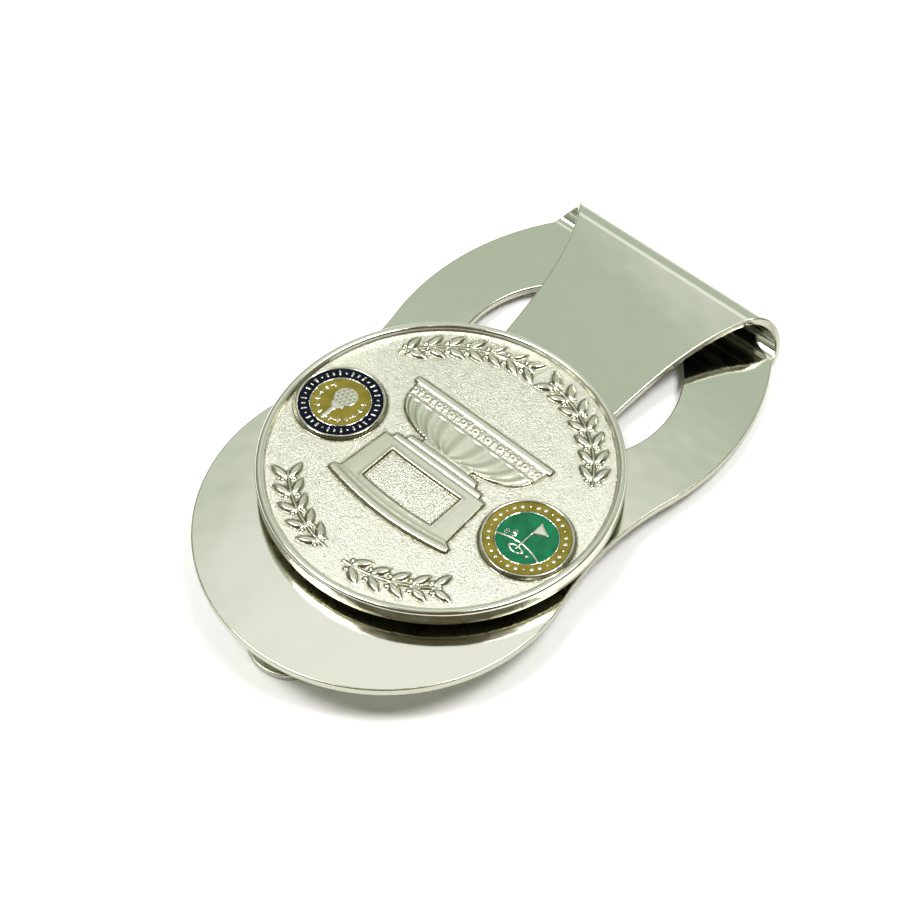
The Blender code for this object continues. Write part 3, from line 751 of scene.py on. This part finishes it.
def badge_relief(x, y, side):
    """Level of a badge's metal above the coin's underside, or -1 outside the badge."""
    bx, by = x - BADGE_X, y - side * BADGE_Y
    radius = np.hypot(bx, by)
    top, floor = BADGE_LEVEL, CELL_FLOOR
    outer = 0.19 - np.abs(radius - (RING_CELL_OUTER + BADGE_RADIUS) / 2)
    inner = 0.09 - np.abs(radius - (FIELD_CELL_RADIUS + RING_CELL_INNER) / 2)
    metal = np.maximum(ramp(outer, 0.18), ramp(inner, CRISP) * METAL_TOP)
    marks, motif = (ring_dashes, tee_and_ball) if side > 0 else (ring_rope, flag_on_green)
    metal = np.max([metal, marks(bx, by), motif(bx, by)], axis=0)
    level = floor + (top - floor) * metal
    return np.where(radius < BADGE_RADIUS + 0.1, level, -1.0)


def ring_dashes(bx, by):
    """Long and short bars round the ring cell."""
    radius, angle = np.hypot(bx, by), np.arctan2(by, bx)
    middle = (RING_CELL_OUTER + RING_CELL_INNER) / 2
    bars = np.zeros(radius.shape)
    for i in range(RING_BARS):
        a = 2 * pi * (i + 0.5) / RING_BARS
        near = np.abs((angle - a + pi) % (2 * pi) - pi) * middle
        half_length = RING_BAR_LENGTHS[i % len(RING_BAR_LENGTHS)]
        bar = np.minimum(0.145 - near, half_length - np.abs(radius - middle))
        bars = np.maximum(bars, ramp(bar, SHARP))
    return bars * METAL_TOP


def ring_rope(bx, by):
    """Large and small beads round the ring cell."""
    middle = (RING_CELL_OUTER + RING_CELL_INNER) / 2
    beads = np.zeros(bx.shape)
    for i in range(RING_BEADS):
        a = 2 * pi * i / RING_BEADS
        size = 0.27 if i % 3 else 0.17
        bead = size - np.hypot(bx - middle * cos(a), by - middle * sin(a))
        beads = np.maximum(beads, ramp(bead, SOFT))
    return beads * 0.96


def tee_and_ball(bx, by):
    """A dimpled ball on a tee between two thin sprigs."""
    ball_distance = np.hypot(bx - BALL_X, by)
    ball = ramp(BALL_RADIUS - ball_distance, CLEAR)
    dimples = np.zeros(bx.shape)
    for i in range(-2, 3):
        for j in range(-2, 3):
            px, py = BALL_X + i * 0.48, j * 0.52 + (i % 2) * 0.26
            near = np.hypot(bx - px, by - py)
            dimples = np.maximum(dimples, np.clip(1 - near / 0.17, 0, 1))
    ball *= 1 - 0.3 * dimples * (ball_distance < BALL_RADIUS - 0.2)
    half = [(-0.35, 0.85), (-0.65, 0.85), (-1.15, 0.36)]
    head = polygon_distance(bx, by, half + [(x, -y) for x, y in reversed(half)])
    stem = np.minimum(0.24 + 0.05 * (bx + 2.8) - np.abs(by), np.minimum(bx + 2.9, -0.9 - bx))
    shapes = [ball, ramp(head, CRISP), ramp(stem, CRISP)]
    radius, angle = np.hypot(bx, by), np.arctan2(np.abs(by), bx)
    branch_end = (radians(62) - np.abs(angle - radians(112))) * SPRIG_RADIUS
    shapes.append(ramp(np.minimum(0.08 - np.abs(radius - SPRIG_RADIUS), branch_end), CRISP))
    for i in range(6):
        a = radians(58 + 21 * i)
        for lean in (0.2, -0.2):
            leaf_x, leaf_y = (SPRIG_RADIUS + lean) * cos(a), (SPRIG_RADIUS + lean) * sin(a)
            shapes.append(ramp(0.15 - np.hypot(bx - leaf_x, np.abs(by) - leaf_y), CRISP))
    return np.max(shapes, axis=0) * METAL_TOP


def horizon_offset(bx, by):
    """Distance above the curved horizon line of the right badge."""
    return np.hypot(bx - HORIZON_X, by) - HORIZON_RADIUS


def flag_on_green(bx, by):
    """A flagstick in its hole, the horizon, two trees on it and a ball on the turf."""
    inside = np.hypot(bx, by) < FIELD_CELL_RADIUS + 0.1
    horizon = 0.14 - np.abs(horizon_offset(bx, by))
    stick = 0.13 - segment_distance(bx, by, (-1.7, 0.0), (2.3, 0.0))
    flag = polygon_distance(bx, by, [(2.35, 0.0), (1.5, -1.7), (0.65, 0.0)])
    hole = 0.13 - np.abs(np.hypot((bx + 1.75) / 0.45, by) - 0.8) * 0.6
    ball = 0.2 - np.hypot(bx + 1.75, by + 1.45)
    shapes = [horizon, stick, flag, hole, ball]
    for middle, reach in ((1.35, 1.0), (2.05, 0.75)):
        foot = -0.95 - 0.08 * middle ** 2
        trunk = 0.07 - segment_distance(bx, by, (foot, middle), (foot + 0.3, middle))
        crown = reach / 2 - np.hypot(bx - foot - 0.25 - reach / 2, (by - middle) * 1.35)
        shapes += [trunk, np.minimum(crown, np.abs(crown - 0.2) - 0.04)]
    return np.max([ramp(shape, CRISP) for shape in shapes], axis=0) * inside * METAL_TOP


def stipple(shape):
    """Grainy struck texture, two sizes of grain mixed, about one unit high."""
    random = np.random.default_rng(GRAIN_SEED)
    fine = random.standard_normal(shape)
    coarse = random.standard_normal(shape)
    for axis in (0, 1):
        coarse = (np.roll(coarse, 1, axis) + 2 * coarse + np.roll(coarse, -1, axis)) / 2.2
    return FINE_GRAIN_SHARE * fine + (1 - FINE_GRAIN_SHARE) * coarse


def blurred(values, reach):
    """Mean over a square of `reach` grid cells each way."""
    for axis in (0, 1):
        values = np.mean([np.roll(values, step, axis) for step in range(-reach, reach + 1)], axis=0)
    return values


def patina_and_shade_map(z, grain, inside_badge):
    """How dark the metal is made, from 0 to 1: painted shade on steep walls, and patina with painted shade at
    their feet and in the grain's pits.
    """
    slope = np.hypot(*np.gradient(z, GRID))
    wall = np.clip(slope / 1.1 - 0.12, 0, 1)
    foot = np.clip((blurred(z, 3) - z) / 0.07, 0, 1)
    pits = np.clip(-grain - 0.6, 0, 1)
    return np.clip(0.8 * wall + 0.6 * foot + 0.4 * pits, 0, 1) * (1 - inside_badge)


def coin_height_map():
    """x, y, z, finish (0 stippled, 1 satin, 2 bright) and the patina with painted shade of the struck face,
    on a square grid.
    """
    half = int(FACE_GRID_REACH / GRID) + 1
    line = np.arange(-half, half + 1) * GRID
    x, y = np.meshgrid(line, line, indexing="ij")
    cup, cup_smooth = cup_relief(x, y)
    leaves = leaf_relief(x, y)
    relief = np.maximum(cup, leaves)
    smooth = np.maximum(cup_smooth, np.clip(leaves / 0.12, 0, 1))
    z = FIELD_LEVEL + relief
    finish = (smooth > 0.5).astype(int)
    rough = 1 - smooth
    inside_badge = np.zeros(x.shape)
    for side in (1, -1):
        level = badge_relief(x, y, side)
        distance = BADGE_RADIUS - np.hypot(x - BADGE_X, y - side * BADGE_Y)
        blend = ramp(distance - 0.02, 0.2)
        z = z * (1 - blend) + np.maximum(level, 0) * blend
        finish = np.where(distance > -0.1, 2, finish)
        rough = rough * (1 - np.clip(distance / 0.2 + 1, 0, 1))
        inside_badge = np.maximum(inside_badge, np.clip((distance - 0.15) / 0.15, 0, 1))
    grain = rough * stipple(x.shape)
    patina_and_shade = patina_and_shade_map(z, grain, inside_badge)
    return x, y, z + GRAIN_HEIGHT * grain, finish, patina_and_shade


def grid_mesh(name, x, y, z, keep_face, finish, patina_and_shade, materials):
    """A mesh over the kept cells of a square grid, in the coin's frame."""
    rows, columns = x.shape
    used = np.zeros(x.shape, bool)
    for di in (0, 1):
        for dj in (0, 1):
            used[di:rows - 1 + di, dj:columns - 1 + dj] |= keep_face
    index = np.full(x.shape, -1)
    index[used] = np.arange(used.sum())
    points = np.stack([x[used], y[used], z[used]], axis=1)
    i, j = np.nonzero(keep_face)
    quads = np.stack([index[i, j], index[i + 1, j], index[i + 1, j + 1], index[i, j + 1]], axis=1)
    mesh = bpy.data.meshes.new(name)
    mesh.from_pydata(points.tolist(), [], quads.tolist())
    for material in materials:
        mesh.materials.append(material)
    slots = np.max([finish[i, j], finish[i + 1, j], finish[i, j + 1], finish[i + 1, j + 1]], axis=0)
    mesh.polygons.foreach_set("material_index", slots.astype(np.int32))
    # Per-vertex darkening: patina in hollows, and painted shade on steep walls
    patina_and_shade_layer = mesh.attributes.new("patina_and_shade", "FLOAT", "POINT")
    patina_and_shade_layer.data.foreach_set("value", patina_and_shade[used].astype(np.float32))
    mesh.shade_smooth()
    return mesh


def rim_profile():
    """(radius, height) from under the field's border over the rim, down the side, to the underside."""
    points = [(17.75, FIELD_LEVEL - 0.12), (17.92, FIELD_LEVEL - 0.02), (18.02, FIELD_LEVEL + 0.1)]
    points += [(18.1, FIELD_LEVEL + 0.3), (18.18, FIELD_LEVEL + 0.44), (18.3, COIN_THICKNESS - 0.035)]
    points += [(18.45, COIN_THICKNESS), (18.6, COIN_THICKNESS - 0.005)]
    top, low = 0.4, 0.12
    top_z = COIN_THICKNESS - 0.005 - top
    shoulder = [(COIN_RADIUS - top + top * cos(a), top_z + top * sin(a)) for a in np.linspace(1.3, 0, 7)]
    foot = [(COIN_RADIUS - low + low * cos(a), low - low * sin(a)) for a in np.linspace(0, pi / 2, 5)]
    return points + shoulder + [(COIN_RADIUS, SIDE_SHADE_BELOW)] + foot + [(12.0, 0.0), (6.0, 0.0), (0.3, 0.0)]


def turned_mesh(name, profile, steps, materials):
    """A profile of (radius, height) turned about the z axis and closed at its last ring."""
    body = bmesh.new()
    turns = [2 * pi * i / steps for i in range(steps)]
    rings = [[body.verts.new((radius * cos(a), radius * sin(a), z)) for a in turns] for radius, z in profile]
    for near, far in zip(rings, rings[1:]):
        for i in range(steps):
            j = (i + 1) % steps
            body.faces.new((near[i], near[j], far[j], far[i]))
    body.faces.new(rings[-1])
    mesh = bpy.data.meshes.new(name)
    bmesh.ops.recalc_face_normals(body, faces=body.faces)
    body.to_mesh(mesh)
    body.free()
    for material in materials:
        mesh.materials.append(material)
    mesh.shade_smooth()
    return mesh


COIN_PLACE = REST @ Matrix.Translation((MARKER_X, 0.0, COIN_SEAT))


def coin_object(name, mesh, slot, *nodes):
    """Puts a mesh drawn in the coin's frame on the marker, in place of the CAD nodes named."""
    mesh.transform(COIN_PLACE)
    item = bpy.data.objects.new(name, mesh)
    bpy.context.scene.collection.objects.link(item)
    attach(item, "marker")
    if nodes:
        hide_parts(*nodes)
    return item


def add_coin():
    """The struck face as a height map, and the turned rim, side and back round it."""
    x, y, z, finish, patina_and_shade = coin_height_map()
    *face_materials, rim_material, side_shade_material = coin_materials()
    middle_x = (x[1:, 1:] + x[:-1, :-1]) / 2
    middle_y = (y[1:, 1:] + y[:-1, :-1]) / 2
    keep = np.hypot(middle_x, middle_y) < FACE_RADIUS
    face = grid_mesh("coin_struck_face", x, y, z, keep, finish, patina_and_shade, face_materials)
    coin_object("coin_struck_face", face, "struck_nickel", "marker_coin")
    rim = turned_mesh("coin_rim_and_back", rim_profile(), RIM_STEPS, [rim_material, side_shade_material])
    # Faces low on the side and under the coin take the darker material: painted shade by the gap under the
    # coin.
    for face in rim.polygons:
        face.material_index = int(face.center.z < SIDE_SHADE_BELOW)
    coin_object("coin_rim_and_back", rim, "struck_nickel")


# ---------------------------------------------------------------- enamel pools

def metal_nearby(metal, bx, by):
    """Share of metal within a short reach of each point, for the enamel's climb at its walls."""
    shares = []
    for reach in (0.12, 0.24, 0.38):
        for turn in np.arange(8) * pi / 4 + reach:
            shares.append(metal(bx + reach * cos(turn), by + reach * sin(turn)))
    return np.mean(shares, axis=0)


def pool_mesh(name, low, high, side, metal, material, keep):
    """A pool between two radii of a badge: low in its middle, and climbing a little at the metal.

    keep(x, y) says which part of it is wanted.
    """
    rings = 14 if low else 40
    radii = np.linspace(max(low - POOL_OVERLAP, 0.02), high + POOL_OVERLAP, rings)
    r, a = np.meshgrid(radii, 2 * pi * np.arange(POOL_STEPS) / POOL_STEPS, indexing="ij")
    bx, by = r * np.cos(a), r * np.sin(a)
    wall = np.minimum(high - r, r - low) if low else high - r
    climb = np.exp(-np.maximum(wall, 0.0) / 0.22) + 1.5 * metal_nearby(metal, bx, by)
    z = ENAMEL_LEVEL - POOL_SINK + POOL_SINK * np.minimum(climb, 1.0)
    verts = np.stack([BADGE_X + bx, side * BADGE_Y + by, z], axis=-1).reshape(-1, 3)
    index = np.arange(rings * POOL_STEPS).reshape(rings, POOL_STEPS)
    faces = []
    for k in range(rings - 1):
        for i in range(POOL_STEPS):
            j = (i + 1) % POOL_STEPS
            if keep((bx[k, i] + bx[k + 1, j]) / 2, (by[k, i] + by[k + 1, j]) / 2):
                faces.append([int(v) for v in (index[k, i], index[k + 1, i], index[k + 1, j], index[k, j])])
    if not low and keep(0.0, 0.0):
        faces.append(list(range(POOL_STEPS)))
    mesh = bpy.data.meshes.new(name)
    mesh.from_pydata(verts.tolist(), [], faces)
    body = bmesh.new()
    body.from_mesh(mesh)
    loose = [v for v in body.verts if not v.link_faces]
    bmesh.ops.delete(body, geom=loose, context="VERTS")
    body.to_mesh(mesh)
    body.free()
    mesh.materials.append(material)
    mesh.shade_smooth()
    return mesh


def everywhere(bx, by):
    """The part of a badge that a whole pool fills."""
    return True


def above_horizon(bx, by):
    """The part of the right badge that the sky fills."""
    return horizon_offset(bx, by) > 0


def below_horizon(bx, by):
    """The part of the right badge that the turf fills."""
    return horizon_offset(bx, by) < 0


def add_enamels():
    """Five pools of enamel in the badges' cells, each in place of its CAD node."""
    navy = enamel("enamel_navy", (0.001, 0.002, 0.007), (0.002, 0.004, 0.013), 0.1)
    gold = enamel("enamel_olive_gold", (0.125, 0.106, 0.011), (0.2, 0.16, 0.022), 0.2)
    green = enamel("enamel_green", (0.0, 0.08, 0.03), (0.0, 0.14, 0.052), 0.3)
    ring, field = (RING_CELL_INNER, RING_CELL_OUTER), (0.0, FIELD_CELL_RADIUS)
    pools = [("left_ring_pool", ring, 1, ring_dashes, navy, everywhere,
              "navy_enamel", "left_badge_ring_enamel"),
             ("left_field_pool", field, 1, tee_and_ball, gold, everywhere,
              "gold_enamel", "left_badge_field_enamel"),
             ("right_ring_pool", ring, -1, ring_rope, gold, everywhere,
              "gold_enamel", "right_badge_ring_enamel"),
             ("right_sky_pool", field, -1, flag_on_green, green, above_horizon,
              "green_enamel", "right_badge_sky_enamel"),
             ("right_turf_pool", field, -1, flag_on_green, green, below_horizon,
              "green_enamel", "right_badge_turf_enamel")]
    for name, (low, high), side, metal, material, keep, slot, node in pools:
        coin_object(name, pool_mesh(name, low, high, side, metal, material, keep), slot, node)


# ---------------------------------------------------------------- magnet

def finish_magnet():
    """The CAD model's magnet and adhesive film are carried over, with materials of their own."""
    frame["nodes"]["magnet"].data.materials[0] = magnet_plating()
    frame["nodes"]["magnet_adhesive"].data.materials[0] = adhesive_film()


# ---------------------------------------------------------------- floor and light

def add_floor():
    """A plain white floor."""
    mesh = bpy.data.meshes.new("floor")
    corners = [(x * FLOOR_HALF_SIZE, y * FLOOR_HALF_SIZE, 0) for x, y in ((-1, -1), (1, -1), (1, 1), (-1, 1))]
    mesh.from_pydata(corners, [], [(0, 1, 2, 3)])
    floor = bpy.data.objects.new("floor", mesh)
    bpy.context.scene.collection.objects.link(floor)
    floor.location.z = -FLOOR_DROP
    material, _, _ = new_material("floor_white", (0.93, 0.93, 0.93), 0.9, 0.0, Specular_IOR_Level=0.0)
    mesh.materials.append(material)


def sky_direction(azimuth, elevation):
    """Unit vector towards a place in the sky; azimuth turns from +x towards +y, both in degrees."""
    turn, rise = radians(azimuth), radians(elevation)
    return cos(rise) * cos(turn), cos(rise) * sin(turn), sin(rise)


def paint_sky(nodes, place, colour, patch, centre, core, edge):
    """Lays a soft round patch over the sky: full within `core` degrees of its centre, gone at `edge`."""
    nearness = nodes.add("ShaderNodeVectorMath", operation="DOT_PRODUCT")
    nearness.inputs[1].default_value = centre
    share = nodes.add("ShaderNodeMapRange", interpolation_type="SMOOTHSTEP")
    share.inputs["From Min"].default_value = cos(radians(edge))
    share.inputs["From Max"].default_value = cos(radians(core))
    mix = nodes.add("ShaderNodeMixRGB")
    mix.inputs["Color2"].default_value = (*patch, 1.0)
    nodes.link(place, nearness.inputs[0])
    nodes.link(nearness.outputs["Value"], share.inputs["Value"])
    nodes.link(share.outputs["Result"], mix.inputs["Fac"])
    if colour:
        nodes.link(colour, mix.inputs["Color1"])
    else:
        mix.inputs["Color1"].default_value = (*SKY_COLOUR, 1.0)
    return mix.outputs["Color"]


def add_world():
    """A light tent: grey-green, darker in front, grey behind, one small bright patch, white below."""
    world = bpy.data.worlds.new("studio")
    bpy.context.scene.world = world
    world.use_nodes = True
    nodes = Nodes(world.node_tree)
    place = nodes.add("ShaderNodeTexCoord").outputs["Generated"]
    colour = None
    for patch, centre, core, edge in SKY_PATCHES:
        colour = paint_sky(nodes, place, colour, patch, sky_direction(*centre), core, edge)
    nodes.link(colour, world.node_tree.nodes["Background"].inputs["Color"])


def add_softboxes():
    """Two large soft lights, high on either side of the clip."""
    for name, azimuth, elevation in SOFTBOXES:
        data = bpy.data.lights.new(name, "AREA")
        data.size = SOFTBOX_WIDTH
        data.energy = SOFTBOX_POWER
        light = bpy.data.objects.new(name, data)
        toward = Vector(sky_direction(azimuth, elevation))
        light.location = toward * SOFTBOX_DISTANCE
        light.rotation_euler = toward.to_track_quat("Z", "Y").to_euler()
        bpy.context.scene.collection.objects.link(light)


add_camera()
add_floor()
add_world()
add_softboxes()
add_sheet()
add_coin()
add_enamels()
finish_magnet()
bpy.context.scene.view_settings.view_transform = "Standard"
